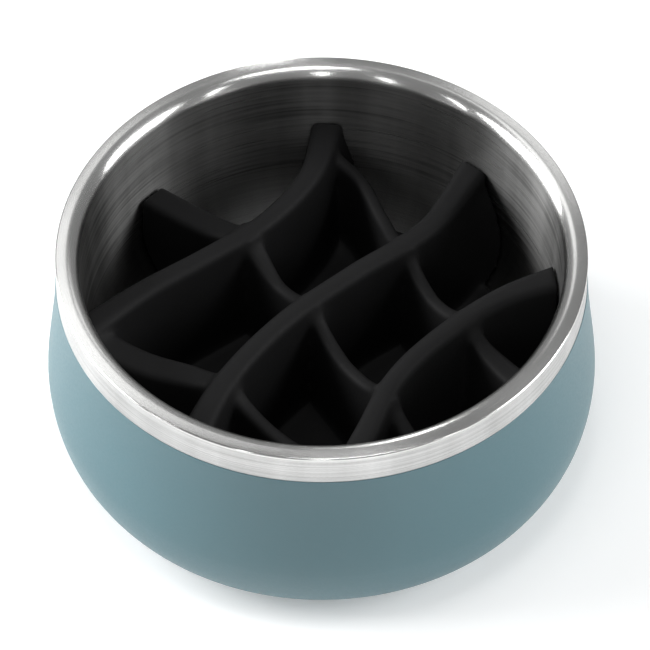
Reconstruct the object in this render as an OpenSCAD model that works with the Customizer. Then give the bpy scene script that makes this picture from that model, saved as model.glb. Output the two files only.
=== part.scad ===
// Slow feeder bowl: a double-wall steel bowl with a lift-out maze insert.
// Millimetres, +Z up, origin on the floor under the middle of the bowl, front towards -Y.

/* [Bowl] */
// Diameter across the crisp outer edge of the rim
rim_d = 206; // [190:1:224]
// Overall height from the floor to the rim
bowl_h = 100; // [94:1:112]
// How far the belly swells out beyond the rim edge
belly_swell = 6.9; // [4:0.1:10]
// Depth of the belly's widest point below the rim
belly_drop = 65.8; // [60:0.1:70]
// Diameter of the flat base that the belly turns in to
base_d = 154; // [142:1:162]

/* [Rim and band] */
// Width of the rim from its outer edge to the inside wall
rim_w = 9.1; // [8:0.1:12]
// Radius of the roll that turns the rim down into the inside wall
rim_roll_r = 5.2; // [3:0.1:7.6]
// Height of the bare band under the rim
band_h = 13.3; // [8:0.1:20]
// How much wider the band is at its foot than at the rim edge
band_flare = 0.4; // [0:0.1:1]
// How far the coated body stands out past the foot of the band
coat_step = 0.3; // [0.1:0.05:0.8]

/* [Sheet metal] */
// Wall of the inside bowl
liner_wall = 0.8; // [0.6:0.1:1.2]
// Wall of the outside shell
shell_wall = 0.8; // [0.6:0.1:1.2]
// Wall of the base plate
plate_wall = 0.8; // [0.6:0.1:1.2]

/* [Inside] */
// Height of the hollow between the inside floor and the base plate
floor_gap = 8.6; // [4:0.1:14]
// Radius that turns the inside wall into the inside floor
liner_corner_r = 32; // [24:1:38]

/* [Base] */
// Width of the flat lip that the shell turns in under the base
base_lip_w = 5; // [3:0.5:8]
// Width of the base plate's flange, which the lip is welded to
plate_flange_w = 1.5; // [1:0.1:3]
// Run of the slope between the flange and the raised panel
plate_slope_w = 1.2; // [0.6:0.1:2]
// Height that the base plate's panel is raised by
panel_rise = 2.2; // [1.5:0.1:3.5]
// Width of the rubber foot ring
foot_w = 12; // [8:0.5:18]
// How far the foot ring stands proud of the base
foot_proud = 1.6; // [1:0.1:2.5]
// Rounding of the foot ring's lower edges
foot_edge_r = 0.9; // [0.4:0.1:1.4]
// Gap between the foot ring and the base plate's slope
foot_gap = 0.3; // [0.1:0.1:0.8]

/* [Maze insert] */
// Running gap between the insert and the inside wall
insert_gap = 0.5; // [0.3:0.1:1]
// Gap under the insert, where it stands in the bowl
seat_gap = 0.3; // [0.2:0.1:0.6]
// Thickness of the insert's floor
insert_floor = 3; // [2:0.5:5]
// Depth of the main ridge tops below the rim
ridge_drop = 28.3; // [24:0.1:34]
// Width of a main ridge across the middle of its run
ridge_w = 9; // [7:0.1:11]
// Width of a main ridge where it meets the wall
ridge_end_w = 14; // [9:0.1:15]
// Rounding along the edges of the main ridges
ridge_round = 3.6; // [2:0.1:4]
// Depth below the rim of a cross rib midway between two ridges
rib_drop = 41.5; // [37:0.1:48]
// Depth below the rim of a cross rib's thick end at the wall
rib_end_drop = 37; // [34:0.1:40]
// Width of a cross rib in its thin runs
rib_w = 6; // [5:0.1:8]
// Width of a cross rib's thick end at the wall
rib_end_w = 12; // [8:0.1:14]
// Rounding along the edges of the cross ribs
rib_round = 2.6; // [1.5:0.1:3]
// Length over which a cross rib climbs to a ridge it meets
web_run = 26; // [16:1:32]
// Step from a ridge's top down to the top of a rib that meets it
web_step = 1.2; // [0.5:0.1:3]
// Taper of the ridge and rib sides, for the mould
draft_angle = 1.8; // [0.5:0.1:3]
// Taper of the ridge sides at the wall, where they spread along it
end_draft_angle = 15; // [3:0.5:20]
// Rounding of the ridge ends where they drop to the wall
nose_round = 2.5; // [2:0.5:6]
// How much shorter than a main ridge a cross rib stops at the wall
rib_end_gap = 0.3; // [0.1:0.1:1]

/* [Hidden] */
$fn = 120;

// Steps along an arc or curve of an outline
arc_steps = 12;
curve_steps = 18;
// Segments along a ridge and a rib, and steps round each of their edges
ridge_segments = 30;
rib_segments = 34;
edge_steps = 4;
slice_bow = ridge_w / 100;

rim_r = rim_d / 2;
mouth_r = rim_r - rim_w;
base_r = base_d / 2;
lip_r = base_r - base_lip_w;
slope_r = lip_r - plate_flange_w;
panel_r = slope_r - plate_slope_w;
panel_z = foot_proud + panel_rise;
liner_floor_z = panel_z + plate_wall + floor_gap + liner_wall;
foot_r = panel_r - foot_gap;

// Handles of the belly curves, as shares of the height and width that each curve spans
belly_upper_out_share = 0.23;
belly_upper_down_share = 0.42;
belly_upper_end_share = 0.18;
belly_lower_start_share = 0.72;
belly_lower_end_share = 0.69;

insert_base_z = liner_floor_z + seat_gap;
insert_floor_z = insert_base_z + insert_floor;
root_z = insert_base_z + insert_floor / 2;
ridge_top_z = bowl_h - ridge_drop;
rib_low_z = bowl_h - rib_drop;
rib_end_z = bowl_h - rib_end_drop;

// Middle lines of the three main ridges, as shares of the inside radius
ridge_path_shares = [
    [[-1.02, -0.20], [-0.75, 0.04], [-0.49, 0.23], [-0.24, 0.43], [-0.05, 0.70], [0.03, 1.03]],
    [[-0.57, -0.87], [-0.40, -0.46], [-0.16, -0.13], [0.14, 0.14], [0.46, 0.40], [0.69, 0.79]],
    [[0.05, -1.03], [0.18, -0.72], [0.30, -0.44], [0.49, -0.21], [0.75, 0.00], [1.03, 0.13]]
];
// Middle lines of the three cross ribs, as shares of the inside radius, and then how far the
// rib has grown there towards its thick, high wall end, from 0 to 1
rib_path_shares = [
    [[-1.02, -0.15, 1], [-0.76, -0.28, 1], [-0.55, -0.36, 0.9], [-0.41, -0.44, 0.4],
     [-0.24, -0.58, 0], [-0.07, -0.73, 0], [0.11, -0.88, 0.2]],
    [[-0.78, 0.68, 1], [-0.54, 0.51, 1], [-0.33, 0.36, 0.6], [-0.19, 0.18, 0], [-0.05, -0.02, 0],
     [0.10, -0.26, 0], [0.26, -0.50, 0], [0.38, -0.70, 0.3], [0.49, -0.93, 0.9]],
    [[0.00, 0.89, 0], [0.16, 0.78, 0], [0.26, 0.56, 0], [0.34, 0.33, 0], [0.48, 0.08, 0],
     [0.63, -0.14, 0.1], [0.75, -0.29, 0.6], [0.93, -0.50, 1]]
];

// Points along an arc from angle a0 to a1
function arc(centre, r, a0, a1, steps) = [
    for (i = [0:steps]) let (a = a0 + (a1 - a0) * i / steps) centre + r * [cos(a), sin(a)]
];

// Points along a cubic curve with two end points and two handles
function curve(p, q, r, s, steps) = [
    for (i = [0:steps]) let (t = i / steps, u = 1 - t)
        u * u * u * p + 3 * u * u * t * q + 3 * u * t * t * r + t * t * t * s
];

// The path moved sideways by d, to the left of its direction
function beside(path, d) = [
    for (i = [0:len(path) - 1])
        let (a = path[max(i - 1, 0)], b = path[min(i + 1, len(path) - 1)], t = (b - a) / norm(b - a))
            path[i] + d * [-t[1], t[0]]
];

function reversed(list) = [for (i = [len(list) - 1:-1:0]) list[i]];

// A smooth line through the points, at u from 0 at the first to 1 at the last
function through(points, u) =
    let (
        n = len(points),
        s = u * (n - 1),
        i = min(floor(s), n - 2),
        f = s - i,
        b = points[i],
        c = points[i + 1],
        a = i > 0 ? points[i - 1] : 2 * b - c,
        d = i < n - 2 ? points[i + 2] : 2 * c - b
    )
    (2 * b + (c - a) * f + (2 * a - 5 * b + 4 * c - d) * f * f + (3 * b - a - 3 * c + d) * f * f * f) / 2;

// Distance in plan from point p to the piece of line from a to b
function to_line(p, a, b) =
    let (ab = b - a, t = max(0, min(1, (p - a) * ab / (ab * ab)))) norm(p - a - t * ab);

// The inside surface of the bowl, from the rim edge to the middle of the floor
function liner_path() = concat(
    [[rim_r, bowl_h]],
    arc([mouth_r + rim_roll_r, bowl_h - rim_roll_r], rim_roll_r, 90, 180, arc_steps),
    arc([mouth_r - liner_corner_r, liner_floor_z + liner_corner_r], liner_corner_r, 0, -90, arc_steps),
    [[0, liner_floor_z]]
);

// The coated outside of the shell, from the foot of the band to the flat base
function belly_path() =
    let (
        start = [rim_r + band_flare + coat_step, bowl_h - band_h],
        widest = [rim_r + belly_swell, bowl_h - belly_drop],
        flat = [base_r, foot_proud],
        upper = widest - start,
        lower = flat - widest
    )
    concat(
        curve(
            start,
            start + [upper[0] * belly_upper_out_share, upper[1] * belly_upper_down_share],
            widest - [0, upper[1] * belly_upper_end_share],
            widest,
            curve_steps
        ),
        [for (i = [1:curve_steps]) curve(
            widest,
            widest + [0, lower[1] * belly_lower_start_share],
            flat - [lower[0] * belly_lower_end_share, 0],
            flat,
            curve_steps
        )[i]]
    );

module inner_bowl() {
    path = liner_path();
    color("silver")
        rotate_extrude()
            polygon(concat(path, reversed(beside(path, liner_wall))));
}

module outer_shell() {
    band = [[rim_r, bowl_h - liner_wall], [rim_r + band_flare, bowl_h - band_h]];
    belly = concat(belly_path(), [[lip_r, foot_proud]]);
    inside = concat(
        [[rim_r - shell_wall, bowl_h - liner_wall], [rim_r + band_flare - shell_wall, bowl_h - band_h]],
        [for (i = [1:len(belly) - 1]) beside(belly, -shell_wall - coat_step)[i]]
    );
    color([0.42, 0.56, 0.60])
        rotate_extrude()
            polygon(concat(band, belly, reversed(inside)));
}

module base_plate() {
    color("silver")
        rotate_extrude()
            polygon([
                [lip_r, foot_proud],
                [lip_r, foot_proud + plate_wall],
                [slope_r + plate_wall / 2, foot_proud + plate_wall],
                [panel_r + plate_wall / 2, panel_z + plate_wall],
                [0, panel_z + plate_wall],
                [0, panel_z],
                [panel_r, panel_z],
                [slope_r, foot_proud]
            ]);
}

module foot_ring() {
    color([0.16, 0.16, 0.17])
        rotate_extrude()
            polygon(concat(
                [[foot_r, panel_z], [foot_r - foot_w, panel_z]],
                arc([foot_r - foot_w + foot_edge_r, foot_edge_r], foot_edge_r, 180, 270, arc_steps / 2),
                arc([foot_r - foot_edge_r, foot_edge_r], foot_edge_r, 270, 360, arc_steps / 2)
            ));
}

// What fits inside the bowl with a gap at the wall: it is rounded over at shoulder_z, and goes
// on above that inside the rounding
module inside_of_bowl(shoulder_z, gap) {
    outer_r = mouth_r - gap;
    corner_r = liner_corner_r - gap;
    rotate_extrude()
        polygon(concat(
            [[0, insert_base_z]],
            arc([outer_r - corner_r, insert_base_z + corner_r], corner_r, -90, 0, arc_steps),
            arc([outer_r - nose_round, shoulder_z - nose_round], nose_round, 0, 90, edge_steps),
            [[outer_r - nose_round, bowl_h], [0, bowl_h]]
        ));
}

// One slice across a ridge at the plan point p: rounded on top, wider towards its foot, and
// bowed forwards at its edges so that the lengths on both sides of it lap
function slice(p, heading, width, top_z, edge_r, draft) =
    let (
        foot = width / 2 + (top_z - root_z) * tan(draft),
        right = arc([width / 2 - edge_r, top_z - edge_r], edge_r, -draft, 90, edge_steps),
        half = concat([[foot, root_z]], right),
        outline = concat(half, [for (q = reversed(half)) [-q[0], q[1]]])
    )
    [for (q = outline)
        let (ahead = slice_bow * pow(q[0] / foot, 2))
            [
                p[0] + q[0] * sin(heading) + ahead * cos(heading),
                p[1] - q[0] * cos(heading) + ahead * sin(heading),
                q[1]
            ]
    ];

// Solid skinned over a row of slices
module skin(slices) {
    for (i = [0:len(slices) - 2]) {
        points = concat(slices[i], slices[i + 1]);
        hull() polyhedron(points, [[for (k = [0:len(points) - 1]) k]]);
    }
}

// Places along a path, as [x, y, its third share if any]
function places(path, segments) = [
    for (i = [0:segments])
        let (q = through(path, i / segments))
            [q[0] * mouth_r, q[1] * mouth_r, len(q) > 2 ? q[2] : 0]
];

function in_plan(q) = [q[0], q[1]];

function heading_at(row, i) =
    let (d = row[min(i + 1, len(row) - 1)] - row[max(i - 1, 0)]) atan2(d[1], d[0]);

function ridge_slices(path) =
    let (row = places(path, ridge_segments))
    [for (i = [0:ridge_segments])
        let (along = abs(2 * i / ridge_segments - 1))
            slice(
                row[i],
                heading_at(row, i),
                ridge_w + (ridge_end_w - ridge_w) * pow(along, 3),
                ridge_top_z,
                ridge_round,
                draft_angle + (end_draft_angle - draft_angle) * pow(along, 8)
            )
    ];

// Clear distance in plan from p to the nearest main ridge
function ridge_distance(p) =
    min([
        for (path = ridge_path_shares)
            let (row = places(path, ridge_segments))
                for (i = [0:ridge_segments - 1]) to_line(p, in_plan(row[i]), in_plan(row[i + 1]))
    ]) - ridge_w / 2;

// Top of a cross rib: it hangs like a saddle between the ridges that it meets
function rib_top(q) =
    let (
        low = rib_low_z + (rib_end_z - rib_low_z) * q[2],
        near = max(0, min(1, 1 - ridge_distance(in_plan(q)) / web_run)),
        climb = ridge_top_z - web_step - low
    )
    low + climb * (1 - sqrt(1 - near * near));

function rib_slices(path) =
    let (row = places(path, rib_segments))
    [for (i = [0:rib_segments])
        slice(
            row[i],
            heading_at(row, i),
            rib_w + (rib_end_w - rib_w) * row[i][2],
            rib_top(row[i]),
            rib_round,
            draft_angle
        )
    ];

module slow_feed_insert() {
    color([0.20, 0.20, 0.21])
        union() {
            intersection() {
                union() {
                    cylinder(h = insert_floor_z, r = rim_r);
                    for (path = ridge_path_shares) skin(ridge_slices(path));
                }
                inside_of_bowl(ridge_top_z, insert_gap);
            }
            intersection() {
                union() {
                    for (path = rib_path_shares) skin(rib_slices(path));
                }
                inside_of_bowl(rib_end_z, insert_gap + rib_end_gap);
            }
        }
}

inner_bowl();
outer_shell();
base_plate();
foot_ring();
slow_feed_insert();
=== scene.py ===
"""Looks of the slow feeder bowl, in metres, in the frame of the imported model.

+Z is up, the origin is on the floor under the middle of the bowl, and -Y is the side towards the
camera. The steel parts are turned again as fine lathe surfaces. The maze insert is skinned again
from its slices and eased like a moulding. Each keeps its solid's place and size.
"""

import math

import bmesh
import bpy
import numpy as np
from mathutils import Matrix, Vector


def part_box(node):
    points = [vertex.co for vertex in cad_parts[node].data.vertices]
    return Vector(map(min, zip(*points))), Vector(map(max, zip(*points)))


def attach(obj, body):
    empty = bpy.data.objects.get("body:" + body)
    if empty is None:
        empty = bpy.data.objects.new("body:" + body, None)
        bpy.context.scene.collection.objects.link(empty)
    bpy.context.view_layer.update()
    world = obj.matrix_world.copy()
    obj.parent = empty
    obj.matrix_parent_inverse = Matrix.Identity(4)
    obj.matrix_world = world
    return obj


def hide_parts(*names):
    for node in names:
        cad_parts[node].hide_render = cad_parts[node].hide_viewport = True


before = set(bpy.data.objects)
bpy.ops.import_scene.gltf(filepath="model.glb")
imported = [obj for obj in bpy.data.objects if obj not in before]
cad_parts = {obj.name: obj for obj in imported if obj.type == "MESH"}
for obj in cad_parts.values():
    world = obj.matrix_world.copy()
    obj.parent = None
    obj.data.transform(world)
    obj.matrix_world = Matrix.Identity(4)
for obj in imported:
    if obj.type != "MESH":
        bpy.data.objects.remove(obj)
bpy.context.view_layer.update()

MM = 0.001

# Sizes that the frame gives
rim_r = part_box("inner_bowl")[1].x
rim_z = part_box("inner_bowl")[1].z
liner_under_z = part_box("inner_bowl")[0].z
maze_under_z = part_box("slow_feed_insert")[0].z
ridge_top_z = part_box("slow_feed_insert")[1].z
belly_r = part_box("outer_shell")[1].x
base_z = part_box("outer_shell")[0].z

# Sizes that the source gives by name, and angles in degrees
sheet = 0.8 * MM
rim_w = 9.1 * MM
rim_roll_r = 5.2 * MM
rim_edge_r = 0.7 * MM
rim_seam_drop = 1.2 * MM
band_h = 13.3 * MM
band_flare = 0.4 * MM
coat_step = 0.3 * MM
belly_drop = 65.8 * MM
base_r = 77 * MM
base_lip_w = 5 * MM
liner_corner_r = 32 * MM
mouth_r = rim_r - rim_w
liner_floor_z = liner_under_z + sheet
insert_gap = 0.5 * MM
insert_floor = 3 * MM
ridge_w = 9 * MM
ridge_end_w = 14 * MM
ridge_round = 3.6 * MM
rib_low_z = rim_z - 41.5 * MM
rib_end_z = rim_z - 37 * MM
rib_w = 6 * MM
rib_end_w = 12 * MM
rib_round = 2.6 * MM
web_run = 26 * MM
web_step = 1.2 * MM
nose_round = 2.5 * MM
rib_end_gap = 0.3 * MM
DRAFT = 1.8
END_DRAFT = 15

# Handles of the belly's curves, as shares of each curve's way out or in and of its way down
UPPER_HANDLE_OUT = 0.23
UPPER_HANDLE_DOWN = 0.42
UPPER_END_HANDLE_DOWN = 0.18
LOWER_HANDLE_DOWN = 0.72
LOWER_END_HANDLE_IN = 0.69

# Forms of the maze that only this model has: the floor's edge climbs with the corner of the bowl,
# the ridges are rounder where they meet the wall, and the middle one leans there by more degrees
floor_climb = 8 * MM
ridge_end_round = 5.4 * MM
END_LEAN = 28

# Forms of the steel that only this model has: the flat of the rim falls outwards by these degrees,
# and the coat's upper edge is rounded by this share of its step
RIM_FALL = 3
COAT_ROUND = 0.8

# Middle lines of the main ridges, as shares of the inside radius, and each one's share of the lean
RIDGE_SHARES = (
    ((-1.02, -0.20), (-0.75, 0.04), (-0.49, 0.23), (-0.24, 0.43), (-0.05, 0.70), (0.03, 1.03)),
    ((-0.57, -0.87), (-0.40, -0.46), (-0.16, -0.13), (0.14, 0.14), (0.46, 0.40), (0.69, 0.79)),
    ((0.05, -1.03), (0.18, -0.72), (0.30, -0.44), (0.49, -0.21), (0.75, 0.00), (1.03, 0.13)),
)
LEAN_SHARES = (0, 1, 0)

# Middle lines of the cross ribs, as shares of the inside radius, and then how far the rib has
# grown there towards its thick, high wall end
RIB_SHARES = (
    (
        (-1.02, -0.15, 1), (-0.76, -0.28, 1), (-0.55, -0.36, 0.9), (-0.41, -0.44, 0.4),
        (-0.24, -0.58, 0), (-0.07, -0.73, 0), (0.11, -0.88, 0.2),
    ),
    (
        (-0.78, 0.68, 1), (-0.54, 0.51, 1), (-0.33, 0.36, 0.6), (-0.19, 0.18, 0),
        (-0.05, -0.02, 0), (0.10, -0.26, 0), (0.26, -0.50, 0), (0.38, -0.70, 0.3),
        (0.49, -0.93, 0.9),
    ),
    (
        (0.00, 0.89, 0), (0.16, 0.78, 0), (0.26, 0.56, 0), (0.34, 0.33, 0),
        (0.48, 0.08, 0), (0.63, -0.14, 0.1), (0.75, -0.29, 0.6), (0.93, -0.50, 1),
    ),
)

# Powers of the way along a ridge, from 0 in the middle to 1 at the wall, by which it rounds off
# and spreads, leans, and widens
END_POWER = 8
LEAN_POWER = 6
WIDTH_POWER = 3

# The maze's voxels, the steps that fill its inside corners, how much of the way to its neighbours'
# height a point goes in one, after how many the normals are taken anew, and the steps that then
# ease all corners, with how much of the way to its neighbours a point goes in one
VOXEL = 0.6 * MM
FILL_STEPS = 60
FILL_SPEED = 0.9
NORMALS_EVERY = 6
EASE_STEPS = 6
EASE_SPEED = 0.5

# Points round the inside bowl, the shell and the maze's floor
LINER_TURNS = 720
SHELL_TURNS = 288
MAZE_TURNS = 240

# Steps along an arc and a curve of an outline, and along the rim's roll, the same seen from below,
# the inside wall and a small edge
ARC = 14
CURVE = 40
ROLL_STEPS = 24
UNDER_STEPS = 20
WALL_STEPS = 8
SMALL_STEPS = 6

# Slices along a ridge or a rib, and steps up its side, round its edge and across its end
SLICES = 200
FLANK = 20
EDGE = 8
END = 10

# Points that are closer than this are one point
SAME = 1e-7

# Edges sharper than these degrees aren't smoothed
SHARP = 35


# Outlines


def arc(centre, r, start, end, steps=ARC):
    """Points from start to end degrees on the circle of radius r."""
    angles = [math.radians(start + (end - start) * i / steps) for i in range(steps + 1)]
    return [(centre[0] + r * math.cos(a), centre[1] + r * math.sin(a)) for a in angles]


def curve(p, q, r, s):
    """Points on the cubic curve with ends p and s and handles q and r."""
    points = []
    for i in range(CURVE + 1):
        t = i / CURVE
        u = 1 - t
        weights = (u * u * u, 3 * u * u * t, 3 * u * t * t, t * t * t)
        point = tuple(sum(w * c[k] for w, c in zip(weights, (p, q, r, s))) for k in (0, 1))
        points.append(point)
    return points


def beside(path, d):
    """The path moved sideways by d, to the left of its direction."""
    moved = []
    for i, (x, y) in enumerate(path):
        ax, ay = path[max(i - 1, 0)]
        bx, by = path[min(i + 1, len(path) - 1)]
        length = math.hypot(bx - ax, by - ay)
        moved.append((x - d * (by - ay) / length, y + d * (bx - ax) / length))
    return moved


# Meshes


def new_object(name, verts, faces, body):
    """A mesh object that rides on the body."""
    mesh = bpy.data.meshes.new(name)
    mesh.from_pydata(verts, [], faces)
    mesh.validate()
    obj = bpy.data.objects.new(name, mesh)
    bpy.context.scene.collection.objects.link(obj)
    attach(obj, body)
    return obj


def revolved(outline, turns):
    """Corners and faces of a closed outline of (radius, height) that is turned round the bowl's
    axis, and for each face the number of its outline edge."""
    n = len(outline)
    verts = []
    for j in range(turns):
        a = 2 * math.pi * j / turns
        verts += [(r * math.cos(a), r * math.sin(a), z) for r, z in outline]
    faces = []
    edges = []
    for j in range(turns):
        k = (j + 1) % turns
        for i in range(n):
            m = (i + 1) % n
            if outline[i][0] < SAME and outline[m][0] < SAME:
                continue
            faces.append((j * n + i, j * n + m, k * n + m, k * n + i))
            edges.append(i)
    return verts, faces, edges


def turned(name, outline, body, turns, materials, slots=None):
    """A turned piece. slots gives the material slot of each outline edge."""
    verts, faces, edges = revolved(outline, turns)
    obj = new_object(name, verts, faces, body)
    for material in materials:
        obj.data.materials.append(material)
    for polygon, edge in zip(obj.data.polygons, edges):
        polygon.material_index = slots[edge] if slots else 0
    bm = bmesh.new()
    bm.from_mesh(obj.data)
    bmesh.ops.remove_doubles(bm, verts=bm.verts, dist=SAME)
    bmesh.ops.recalc_face_normals(bm, faces=bm.faces)
    bm.to_mesh(obj.data)
    bm.free()
    obj.data.shade_smooth()
    obj.data.set_sharp_from_angle(angle=math.radians(SHARP))
    return obj


# Materials

# Most of a noise lies between these
NOISE_LOW = 0.3
NOISE_HIGH = 0.7

# Brushed lines: how much a line changes on the way round, against each metre across it, and the
# scales of the fine lines, the wide lines and the waves in the sheet
LINE_DRAWN = 0.0025
FINE_SCALE = 800
WIDE_SCALE = 330
WAVE_SCALE = 120

# The two kinds of line added up are darkest at the first of these and lightest at the second
LINES_DARK = 0.38
LINES_LIGHT = 0.62

# Scales of the painted reflection streaks, in which the tone changes at random round the bowl, and
# of the clouds of duller and shinier steel
PAINTED_STREAK_SCALE = 4.5
CLOUD_SCALE = 22

# The roughest and the smoothest line, as shares of the steel's roughness
ROUGHEST = 1.3
SMOOTHEST = 0.75

# The rim is rolled from the first of these below its top to the second, and there its colour gets
# a painted highlight
ROLL_BEGINS = 6 * MM
ROLL_FULL = 2.5 * MM

# How much of the painted highlight on the rolled rim shows, and how much smoother the rim is for
# its gloss
ROLL_HIGHLIGHT = 0.8
ROLL_SMOOTH = 0.25

# A quarter of a turn, so that the lines spread reflections across themselves
SPREAD_TURN = 0.25

# Scales of the coat's orange peel and of the drift of its tone, of the bloom on silicone and
# rubber, and of the floor's clouds
PEEL_SCALE = 900
DRIFT_SCALE = 14
BLOOM_SCALE = 35
FLOOR_SCALE = 3

# How high the waves in the steel are, and the grain of the coat and of the silicone
WAVE_H = 0.1 * MM
GRAIN_H = 0.05 * MM


def toned(tone, factor):
    """The tone times the factor, as a colour."""
    return tuple(min(1, factor * c) for c in tone) + (1,)


class Graph:
    """A node material that is built in a few readable calls."""

    def __init__(self, name):
        self.material = bpy.data.materials.new(name)
        self.material.use_nodes = True
        self.tree = self.material.node_tree
        self.shader = self.tree.nodes["Principled BSDF"]

    def add(self, kind, **settings):
        node = self.tree.nodes.new(kind)
        for key, value in settings.items():
            setattr(node, key, value)
        return node

    def link(self, a, b):
        self.tree.links.new(a, b)

    def put(self, socket, value):
        if isinstance(value, bpy.types.NodeSocket):
            self.link(value, socket)
        else:
            socket.default_value = value

    def give(self, name, value):
        """Give the shader's socket of that name a number, a colour or another node's result."""
        self.put(self.shader.inputs[name], value)

    def math(self, operation, *values):
        node = self.add("ShaderNodeMath", operation=operation)
        for socket, value in zip(node.inputs, values):
            self.put(socket, value)
        return node.outputs[0]

    def vector(self, operation, *values, output=0):
        node = self.add("ShaderNodeVectorMath", operation=operation)
        for socket, value in zip(node.inputs, values):
            self.put(socket, value)
        return node.outputs[output]

    def scaled(self, vector, scale):
        node = self.add("ShaderNodeVectorMath", operation="SCALE")
        self.link(vector, node.inputs[0])
        node.inputs["Scale"].default_value = scale
        return node.outputs[0]

    def noise(self, vector, scale, detail, rough, w=None):
        node = self.add("ShaderNodeTexNoise", noise_dimensions="3D" if w is None else "4D")
        self.link(vector, node.inputs["Vector"])
        node.inputs["Scale"].default_value = scale
        node.inputs["Detail"].default_value = detail
        node.inputs["Roughness"].default_value = rough
        if w is not None:
            self.put(node.inputs["W"], w)
        return node.outputs["Fac"]

    def ramp(self, value, low, high, to_low, to_high):
        node = self.add("ShaderNodeMapRange")
        self.link(value, node.inputs["Value"])
        node.inputs["From Min"].default_value = low
        node.inputs["From Max"].default_value = high
        node.inputs["To Min"].default_value = to_low
        node.inputs["To Max"].default_value = to_high
        return node.outputs[0]

    def between(self, noise, to_low, to_high):
        """The noise, stretched to lie between to_low and to_high."""
        return self.ramp(noise, NOISE_LOW, NOISE_HIGH, to_low, to_high)

    def mix(self, factor, a, b):
        node = self.add("ShaderNodeMix", data_type="RGBA")
        self.put(node.inputs[0], factor)
        self.put(node.inputs[6], a)
        self.put(node.inputs[7], b)
        return node.outputs[2]

    def bump(self, height, strength, distance):
        node = self.add("ShaderNodeBump")
        node.inputs["Strength"].default_value = strength
        node.inputs["Distance"].default_value = distance
        self.link(height, node.inputs["Height"])
        return node.outputs["Normal"]

    def place(self):
        return self.add("ShaderNodeTexCoord").outputs["Object"]

    def drawn_round(self, heading, radius, scale, detail, rough):
        """Noise that is drawn out round the bowl's axis into lines."""
        height = self.vector("MULTIPLY", self.place(), (0, 0, 1))
        vector = self.vector("ADD", self.scaled(heading, LINE_DRAWN), height)
        return self.noise(vector, scale, detail, rough, self.math("MULTIPLY", radius, scale))


def brushed_steel(name, tone, roughness, depth, spread, rim_highlight_and_gloss=0.0, dull=0.6, bright=1.3):
    """Stainless steel brushed round the axis: fine and wide lines, from dull to bright times the
    tone, in sheet with waves as strong as depth. The lines spread reflections across themselves,
    by the share spread. Where the top of the bowl is rolled, the rim's share paints a highlight
    there, which makes its colour that much brighter than the tone, and it also makes the steel
    smoother."""
    g = Graph(name)
    flat = g.vector("MULTIPLY", g.place(), (1, 1, 0))
    heading = g.vector("NORMALIZE", flat)
    radius = g.vector("LENGTH", flat, output=1)
    fine = g.drawn_round(heading, radius, FINE_SCALE, 1, 0.5)
    wide = g.drawn_round(heading, radius, WIDE_SCALE, 2, 0.6)
    wave = g.drawn_round(heading, radius, WAVE_SCALE, 1, 0.5)
    painted_streak = g.noise(heading, PAINTED_STREAK_SCALE, 3, 0.6)
    cloud = g.noise(g.place(), CLOUD_SCALE, 2, 0.5)
    lines = g.math("ADD", g.math("MULTIPLY", fine, 0.5), g.math("MULTIPLY", wide, 0.5))
    xyz = g.add("ShaderNodeSeparateXYZ")
    g.link(g.place(), xyz.inputs[0])
    # Where the rim is rolled: there the colour gets a painted highlight, and the steel is smoother
    rolled = g.ramp(xyz.outputs["Z"], rim_z - ROLL_BEGINS, rim_z - ROLL_FULL, 0, 1)

    lit = g.ramp(lines, LINES_DARK, LINES_LIGHT, 0, 1)
    # Painted reflection streaks: the tone changes at random round the bowl, in upright bands on
    # the walls
    share = g.math("ADD", lit, g.between(painted_streak, -0.2, 0.2))
    worn = g.mix(share, toned(tone, dull), toned(tone, bright))
    # Painted highlight on the rolled rim: its colour is mixed towards a much brighter tone
    if rim_highlight_and_gloss:
        shown = g.math("MULTIPLY", rolled, ROLL_HIGHLIGHT)
        g.give("Base Color", g.mix(shown, worn, toned(tone, 1 + rim_highlight_and_gloss)))
    else:
        g.give("Base Color", worn)

    line_rough = g.between(lines, ROUGHEST * roughness, SMOOTHEST * roughness)
    rough = g.math("ADD", line_rough, g.between(cloud, -0.02, 0.03))
    smoother = g.math("MULTIPLY", rolled, ROLL_SMOOTH * rim_highlight_and_gloss * roughness)
    g.give("Roughness", g.math("SUBTRACT", rough, smoother))
    g.give("Normal", g.bump(wave, depth, WAVE_H))
    g.give("Metallic", 1.0)
    g.give("Anisotropic", spread)
    g.give("Anisotropic Rotation", SPREAD_TURN)
    g.give("Tangent", g.add("ShaderNodeTangent", direction_type="RADIAL", axis="Z").outputs[0])
    return g.material


def powder_coat(name, tone):
    """Satin powder coat: a faint orange peel, and a tone that drifts a little."""
    g = Graph(name)
    peel = g.noise(g.place(), PEEL_SCALE, 3, 0.55)
    drift = g.noise(g.place(), DRIFT_SCALE, 2, 0.5)
    g.give("Base Color", g.mix(g.between(drift, 0, 1), toned(tone, 0.975), toned(tone, 1.03)))
    g.give("Roughness", g.between(peel, 0.40, 0.48))
    g.give("Normal", g.bump(peel, 0.10, GRAIN_H))
    g.give("Specular IOR Level", 0.5)
    g.give("Coat Weight", 0.15)
    g.give("Coat Roughness", 0.3)
    return g.material


def moulded(name, tone, roughness, grain, bloom):
    """Matte silicone or rubber: a fine grain of the scale given, with faint patches that are
    bloom times as light."""
    g = Graph(name)
    fine = g.noise(g.place(), grain, 3, 0.6)
    patch = g.noise(g.place(), BLOOM_SCALE, 3, 0.55)
    bloomed = g.ramp(patch, 0.35, 0.75, 0, 1)
    g.give("Base Color", g.mix(bloomed, toned(tone, 1), toned(tone, bloom)))
    g.give("Roughness", g.between(fine, roughness - 0.05, roughness + 0.05))
    g.give("Normal", g.bump(fine, 0.15, GRAIN_H))
    g.give("Specular IOR Level", 0.14)
    return g.material


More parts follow.
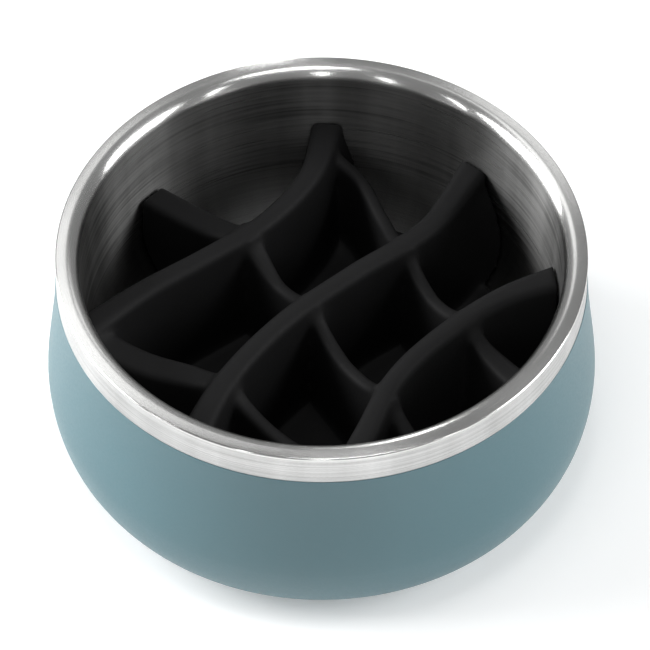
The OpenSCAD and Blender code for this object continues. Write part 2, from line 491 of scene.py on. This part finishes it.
def studio_floor(name):
    """A pale, matte floor that is barely clouded and shines a little of its own."""
    g = Graph(name)
    cloud = g.noise(g.place(), FLOOR_SCALE, 2, 0.5)
    white = (1, 1, 1)
    g.give("Base Color", g.mix(g.between(cloud, 0, 1), toned(white, 0.90), toned(white, 0.93)))
    g.give("Roughness", 0.9)
    g.give("Emission Color", toned(white, 1))
    g.give("Emission Strength", 0.2)
    return g.material


# The inside bowl's steel, whose rolled rim gets a painted highlight in its colour
bare_steel = brushed_steel(
    "bare_steel", (0.31, 0.31, 0.306), roughness=0.32, depth=0.1, spread=0.92,
    rim_highlight_and_gloss=1.55, dull=0.4, bright=1.9,
)
band_steel = brushed_steel(
    "band_steel", (0.56, 0.56, 0.555), roughness=0.34, depth=0.35, spread=0.7
)
base_steel = brushed_steel(
    "base_steel", (0.60, 0.60, 0.60), roughness=0.34, depth=0.35, spread=0.7
)
coat = powder_coat("coat", (0.062, 0.146, 0.172))
silicone = moulded(
    "silicone", (0.0082, 0.0082, 0.0085), roughness=0.62, grain=900, bloom=1.25
)
foot_rubber = moulded(
    "foot_rubber", (0.018, 0.018, 0.018), roughness=0.7, grain=1100, bloom=1.3
)


# The inside bowl, with the rim rolled over its top


def liner_outline():
    """The inside, from the rim's outer edge to the middle of the floor, and back underneath, a
    sheet's thickness away from the same line without the rim's fall."""
    fall = math.radians(RIM_FALL)
    roll = (mouth_r + rim_roll_r, rim_z - rim_roll_r)
    edge_x = rim_r - rim_edge_r
    flat_drop = math.sin(fall) * (edge_x - roll[0])
    edge_z = roll[1] + (rim_roll_r - rim_edge_r - flat_drop) / math.cos(fall)
    corner_z = liner_floor_z + liner_corner_r
    wall_h = roll[1] - corner_z
    corner = arc((mouth_r - liner_corner_r, corner_z), liner_corner_r, 0, -90, ROLL_STEPS)
    corner.append((0, liner_floor_z))
    inside = (
        [(rim_r, rim_z - rim_seam_drop)]
        + arc((edge_x, edge_z), rim_edge_r, 0, 90 - RIM_FALL, SMALL_STEPS)
        + arc(roll, rim_roll_r, 90 - RIM_FALL, 180, ROLL_STEPS)
        + [(mouth_r, corner_z + wall_h * k / WALL_STEPS) for k in range(WALL_STEPS - 1, 0, -1)]
        + corner
    )
    middle = [(rim_r, rim_z)] + arc(roll, rim_roll_r, 90, 180, UNDER_STEPS) + corner
    under = beside(middle, sheet)
    under[0] = (rim_r - 2 * sheet, rim_z - rim_seam_drop)
    return inside + under[::-1]


liner = turned("liner_turned", liner_outline(), "bowl", LINER_TURNS, [bare_steel])
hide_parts("inner_bowl")


# The outside shell: a bare band, then the coat, which stands a little proud of it


def shell_parts():
    """Outlines of the band, of the coated belly down to the lip, and of the inside on the way
    back up."""
    top = (rim_r, rim_z - rim_seam_drop)
    foot = (rim_r + band_flare, rim_z - band_h)
    band = [top, (top[0] + band_flare / 2, (top[1] + foot[1]) / 2), foot]
    start = (foot[0] + coat_step, foot[1])
    widest = (belly_r, rim_z - belly_drop)
    flat = (base_r, base_z)
    lip = (base_r - base_lip_w, base_z)
    out = widest[0] - start[0]
    down = widest[1] - start[1]
    upper = curve(
        start,
        (start[0] + UPPER_HANDLE_OUT * out, start[1] + UPPER_HANDLE_DOWN * down),
        (widest[0], widest[1] - UPPER_END_HANDLE_DOWN * down),
        widest,
    )
    turn_in = flat[0] - widest[0]
    drop = flat[1] - widest[1]
    lower = curve(
        widest,
        (widest[0], widest[1] + LOWER_HANDLE_DOWN * drop),
        (flat[0] - LOWER_END_HANDLE_IN * turn_in, flat[1]),
        flat,
    )
    edge_r = COAT_ROUND * coat_step
    coat_edge = arc((start[0] - edge_r, start[1] - edge_r), edge_r, 90, 30, 2)
    below_edge = [p for p in upper if p[1] < start[1] - edge_r]
    coated = coat_edge + below_edge + lower[1:] + [lip]
    inside = beside([top, foot] + upper[2:] + lower[1:] + [lip], -sheet - coat_step)
    inside[0] = (rim_r - sheet, rim_z - rim_seam_drop)
    inside[-1] = (lip[0], base_z + sheet + coat_step)
    return band, coated, inside[::-1]


STEEL_SLOT = 0
COAT_SLOT = 1
band, coated, inside = shell_parts()
slots = [STEEL_SLOT] * len(band)
slots += [COAT_SLOT] * (len(coated) - 1)
slots += [STEEL_SLOT] * (len(inside) + 1)
outline = band + coated + inside
shell = turned("shell_turned", outline, "bowl", SHELL_TURNS, [band_steel, coat], slots)
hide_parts("outer_shell")


# The maze insert: ridges and ribs on a dished floor, with the soft corners of a moulding

# The ridges and ribs stand in the middle of the floor's thickness
root_z = maze_under_z + insert_floor / 2


def through(points, u):
    """A smooth line through the points, at u from 0 at the first to 1 at the last."""
    n = len(points)
    i = min(int(u * (n - 1)), n - 2)
    f = u * (n - 1) - i
    b = points[i]
    c = points[i + 1]
    a = points[i - 1] if i > 0 else 2 * b - c
    d = points[i + 2] if i < n - 2 else 2 * c - b
    square = 2 * a - 5 * b + 4 * c - d
    cube = 3 * b - a - 3 * c + d
    return (2 * b + (c - a) * f + square * f ** 2 + cube * f ** 3) / 2


def places(shares):
    """Places along a path, in metres in plan, with its third share if any."""
    points = np.array(shares, "d")
    points[:, :2] *= mouth_r
    return np.array([through(points, i / SLICES) for i in range(SLICES + 1)])


def side(width, top_z, edge_r, draft):
    """One side of a slice, from its foot to the top, as (distance from the middle, height)."""
    r = min(edge_r, width / 2)
    rise = np.array(arc((width / 2 - r, top_z - r), r, -draft, 90, EDGE))
    spread = (top_z - root_z) * math.tan(math.radians(draft))
    foot = np.array((width / 2 + spread, root_z))
    flank = [foot + (rise[0] - foot) * k / FLANK for k in range(FLANK)]
    return np.vstack((flank, rise))


def drawn_in(v, top_z, gap):
    """The point v, drawn in to what fits inside the bowl with a gap at the wall and is rounded
    over at top_z."""
    corner_r = liner_corner_r - gap
    below = min(corner_r, max(0, maze_under_z + corner_r - v[2]))
    above = min(nose_round, max(0, v[2] - top_z + nose_round))
    reach = mouth_r - gap
    reach += math.sqrt(corner_r ** 2 - below ** 2) - corner_r
    reach += math.sqrt(nose_round ** 2 - above ** 2) - nose_round
    share = min(1, reach / max(math.hypot(v[0], v[1]), SAME))
    return (share * v[0], share * v[1], v[2])


def skin(row, sides, top_z, gap):
    """Corners and faces of a ridge: row is the places of its slices, and sides their left and
    right sides. What is outside the bowl's shape is drawn in to it."""
    heading = np.gradient(row[:, :2], axis=0)
    heading /= np.linalg.norm(heading, axis=1)[:, None]
    slices = []
    for p, (hx, hy), (left, right) in zip(row, heading, sides):
        slices.append([
            np.column_stack((p[0] + sign * d * hy, p[1] - sign * d * hx, z))
            for sign, (d, z) in ((1, right.T), (-1, left.T))
        ])
    n = 2 * len(slices[0][0])
    verts = [v for right, left in slices for v in np.vstack((right, left[::-1]))]
    faces = []
    for j in range(len(slices) - 1):
        for i in range(n):
            m = (i + 1) % n
            faces.append((j * n + i, j * n + m, (j + 1) * n + m, (j + 1) * n + i))
    for right, left in (slices[0], slices[-1]):
        first = len(verts)
        rows = len(right)
        for c in range(END + 1):
            verts += list(right + (left - right) * c / END)
        for c in range(END):
            for k in range(rows - 1):
                a = first + c * rows + k
                faces.append((a, a + 1, a + rows + 1, a + rows))
    return [drawn_in(v, top_z, gap) for v in verts], faces


def main_ridge(shares, lean_share):
    """A main ridge: towards the wall it widens, rounds off and spreads, and it leans left at its
    start and right at its end."""
    sides = []
    for i in range(SLICES + 1):
        along = 2 * i / SLICES - 1
        near_end = along ** END_POWER
        draft = DRAFT + (END_DRAFT - DRAFT) * near_end
        lean = END_LEAN * lean_share * along ** LEAN_POWER
        width = ridge_w + (ridge_end_w - ridge_w) * abs(along) ** WIDTH_POWER
        edge_r = ridge_round + (ridge_end_round - ridge_round) * near_end
        left_draft = draft + (lean if along < 0 else 0)
        right_draft = draft + (lean if along > 0 else 0)
        sides.append([side(width, ridge_top_z, edge_r, d) for d in (left_draft, right_draft)])
    return skin(places(shares), sides, ridge_top_z, insert_gap)


def rib_top(p, grown, ridge_lines):
    """Top of a cross rib: it hangs like a saddle between the ridges that it meets."""
    low = rib_low_z + (rib_end_z - rib_low_z) * grown
    clear = np.linalg.norm(ridge_lines - p, axis=1).min() - ridge_w / 2
    near = min(1, max(0, 1 - clear / web_run))
    return low + (ridge_top_z - web_step - low) * (1 - math.sqrt(1 - near * near))


def cross_rib(shares, ridge_lines):
    """A cross rib: it thickens and rises as it grows towards its wall end."""
    row = places(shares)
    sides = []
    for x, y, grown in row:
        width = rib_w + (rib_end_w - rib_w) * grown
        half = side(width, rib_top((x, y), grown, ridge_lines), rib_round, DRAFT)
        sides.append((half, half))
    return skin(row, sides, rib_end_z, insert_gap + rib_end_gap)


def dish():
    """The floor: it turns up with the bowl's corner, and ends square to it, with a rounded
    edge."""
    corner_r = liner_corner_r - insert_gap
    centre = np.array((mouth_r - liner_corner_r, maze_under_z + corner_r))
    edge_r = insert_floor / 2
    turn = math.degrees(math.acos(1 - floor_climb / corner_r)) - 90
    lean = math.degrees(math.asin(edge_r / (corner_r - edge_r)))
    out = np.array((math.cos(math.radians(turn)), math.sin(math.radians(turn))))
    up = np.array((-out[1], out[0]))
    edge_centre = centre + (corner_r - edge_r) * math.cos(math.radians(lean)) * out - edge_r * up
    outline = (
        [(0, maze_under_z)]
        + arc(centre, corner_r, -90, turn)
        + arc(edge_centre, edge_r, turn + 90, turn - lean + 180, SMALL_STEPS)
        + arc(centre, corner_r - insert_floor, turn - lean, -90)
        + [(0, maze_under_z + insert_floor)]
    )
    verts, faces, _ = revolved(outline, MAZE_TURNS)
    return verts, faces


def neighbour_mean(co, edges, count):
    """For each point the mean of the count points that it shares an edge with."""
    one, other = edges.T
    total = [
        np.bincount(one, co[other, k], len(co)) + np.bincount(other, co[one, k], len(co))
        for k in range(3)
    ]
    return np.stack(total, axis=1) / count[:, None]


def moulding(name, body, shapes):
    """One piece of closed shapes that lap. Its inside corners are filled, and then all its
    corners are eased."""
    verts = []
    faces = []
    for more_verts, more_faces in shapes:
        faces += [tuple(len(verts) + i for i in face) for face in more_faces]
        verts += more_verts
    obj = new_object(name, verts, faces, body)
    remesh = obj.modifiers.new("even", "REMESH")
    remesh.mode = "VOXEL"
    remesh.voxel_size = VOXEL
    shown = bpy.context.evaluated_depsgraph_get()
    shown.update()
    mesh = bpy.data.meshes.new_from_object(obj.evaluated_get(shown))
    obj.modifiers.clear()
    obj.data = mesh
    co = np.empty(3 * len(mesh.vertices), "f")
    edges = np.empty(2 * len(mesh.edges), "i")
    normal = np.empty(3 * len(mesh.vertices), "f")
    mesh.vertices.foreach_get("co", co)
    mesh.edges.foreach_get("vertices", edges)
    co = co.reshape(-1, 3).astype("d")
    edges = edges.reshape(-1, 2)
    count = np.maximum(np.bincount(edges.ravel(), minlength=len(co)), 1)
    for step in range(FILL_STEPS):
        if step % NORMALS_EVERY == 0:
            mesh.vertices.foreach_set("co", co.ravel())
            mesh.update()
            mesh.vertices.foreach_get("normal", normal)
            n = normal.reshape(-1, 3).astype("d")
        lift = ((neighbour_mean(co, edges, count) - co) * n).sum(axis=1)
        co += n * np.maximum(lift, 0)[:, None] * FILL_SPEED
    for _ in range(EASE_STEPS):
        co += EASE_SPEED * (neighbour_mean(co, edges, count) - co)
    mesh.vertices.foreach_set("co", co.ravel())
    mesh.update()
    mesh.shade_smooth()
    return obj


ridge_lines = np.vstack([places(shares)[:, :2] for shares in RIDGE_SHARES])
shapes = [dish()]
for shares, lean_share in zip(RIDGE_SHARES, LEAN_SHARES):
    shapes.append(main_ridge(shares, lean_share))
for shares in RIB_SHARES:
    shapes.append(cross_rib(shares, ridge_lines))
maze = moulding("maze_moulded", "insert", shapes)
maze.data.materials.append(silicone)
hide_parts("slow_feed_insert")


# The hidden parts keep their solids

for node, material in (("base_plate", base_steel), ("foot_ring", foot_rubber)):
    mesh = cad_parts[node].data
    mesh.materials.clear()
    mesh.materials.append(material)


# Camera

# Its height in degrees above the floor, its roll in degrees, and in rim radii how far away it
# stands and how far right of the rim's middle and below it it looks
CAMERA_LIFT = math.radians(50.4127)
CAMERA_ROLL = math.radians(0.0987)
CAMERA_AWAY = 12
LOOK_RIGHT = 0.013
LOOK_BELOW = 0.4597

# The picture is this wide, and the rim's radius takes up this much of it
FRAME_PIXELS = 650
PIXELS_PER_RIM_RADIUS = 258.5924
SENSOR_MM = 36

back = Vector((0, -math.cos(CAMERA_LIFT), math.sin(CAMERA_LIFT)))
level_up = Vector((0, math.sin(CAMERA_LIFT), math.cos(CAMERA_LIFT)))
level_right = Vector((1, 0, 0))
right = math.cos(CAMERA_ROLL) * level_right + math.sin(CAMERA_ROLL) * level_up
up = math.cos(CAMERA_ROLL) * level_up - math.sin(CAMERA_ROLL) * level_right
look_at = Vector((LOOK_RIGHT * rim_r, 0, rim_z - LOOK_BELOW * rim_r))
stand = Matrix.Translation(look_at + CAMERA_AWAY * rim_r * back)
camera_data = bpy.data.cameras.new("camera")
camera_data.sensor_width = SENSOR_MM
camera_data.lens = SENSOR_MM * CAMERA_AWAY * PIXELS_PER_RIM_RADIUS / FRAME_PIXELS
camera = bpy.data.objects.new("camera", camera_data)
bpy.context.scene.collection.objects.link(camera)
camera.matrix_world = stand @ Matrix((right, up, back)).transposed().to_4x4()
bpy.context.scene.camera = camera


# Floor and lights

FLOOR_HALF = 6.0
SKY = 0.25
bowl_middle = Vector((0, 0, 0.5 * rim_z))


def softbox(name, place, width, height, power):
    """A rectangular light that is aimed at the middle of the bowl."""
    data = bpy.data.lights.new(name, "AREA")
    data.shape = "RECTANGLE"
    data.size = width
    data.size_y = height
    data.energy = power
    obj = bpy.data.objects.new(name, data)
    bpy.context.scene.collection.objects.link(obj)
    obj.location = place
    obj.rotation_euler = (bowl_middle - Vector(place)).to_track_quat("-Z", "Y").to_euler()
    return obj


quarters = ((-1, -1), (1, -1), (1, 1), (-1, 1))
floor_corners = [(FLOOR_HALF * x, FLOOR_HALF * y, 0) for x, y in quarters]
floor_mesh = bpy.data.meshes.new("floor")
floor_mesh.from_pydata(floor_corners, [], [(0, 1, 2, 3)])
floor = bpy.data.objects.new("floor", floor_mesh)
bpy.context.scene.collection.objects.link(floor)
floor.data.materials.append(studio_floor("floor"))

# The top light stays out of the gloss, where it would draw a white band along the far roll
softbox("softbox_left", (-1.5, 0.25, 0.75), 1.2, 1.2, 44)
softbox("softbox_right", (1.65, -0.12, 0.85), 1.0, 1.1, 25)
softbox("softbox_top", (-0.15, -0.1, 1.9), 0.7, 0.7, 8).visible_glossy = False

# Lights that only the gloss sees: name, place, width, height and power. The strips a to d, on the
# camera side, draw hot spots on the rim's far roll and streaks on the far wall. The panels and
# the strips above and at the back light the flat of the rim, and the last also the front roll
for name, place, width, height, power in (
    ("strip_a", (1.1, -1.0, 1.0), 0.05, 0.8, 1.4),
    ("strip_b", (0.0, -1.45, 1.0), 0.05, 0.8, 1.4),
    ("strip_c", (-0.7, -1.3, 1.0), 0.05, 0.8, 1.4),
    ("strip_d", (-1.3, -0.7, 1.0), 0.05, 0.8, 1.4),
    ("panel_left", (-0.47, 1.05, 1.5), 0.75, 0.75, 2.2),
    ("strip_above", (0.14, 0.0, 1.9), 0.2, 0.5, 3.8),
    ("panel_right", (0.38, 1.37, 1.16), 0.35, 0.4, 0.5),
    ("strip_back", (-0.13, 1.6, 0.75), 0.08, 0.4, 0.9),
):
    softbox(name, place, width, height, power).visible_diffuse = False

world = bpy.data.worlds.new("studio")
world.use_nodes = True
world.node_tree.nodes["Background"].inputs["Color"].default_value = (1, 1, 1, 1)
world.node_tree.nodes["Background"].inputs["Strength"].default_value = SKY
bpy.context.scene.world = world
bpy.context.scene.view_settings.view_transform = "Standard"
bpy.context.scene.view_settings.look = "None"
